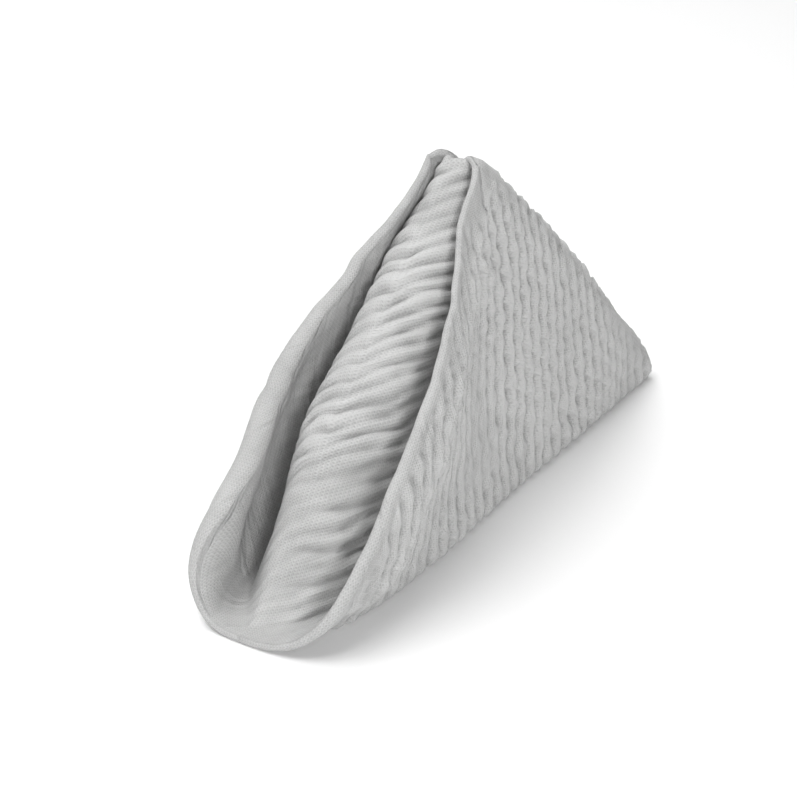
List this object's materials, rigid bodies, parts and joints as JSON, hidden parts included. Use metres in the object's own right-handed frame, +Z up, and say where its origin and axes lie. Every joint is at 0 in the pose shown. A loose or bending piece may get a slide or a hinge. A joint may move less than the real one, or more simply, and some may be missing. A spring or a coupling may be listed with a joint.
{
  "type": "folded muslin cloth",
  "caption": "Square light grey double-gauze muslin cloth folded into a standing pyramid, with a round middle ridge between two soft flaps",
  "frame": {"origin": "middle of the box that the folded cloth fills, on the table", "axes": "+Z up, the round lip at the front towards -Y and the open back towards +Y, the two halves at +X and -X"},
  "size_m": [0.0574, 0.2212, 0.1125],
  "materials": {
    "muslin": "crinkled open plain weave, matte, light grey"
  },
  "bodies": {
    "root": {"muslin_cloth": "muslin"}
  },
  "joints": []
}
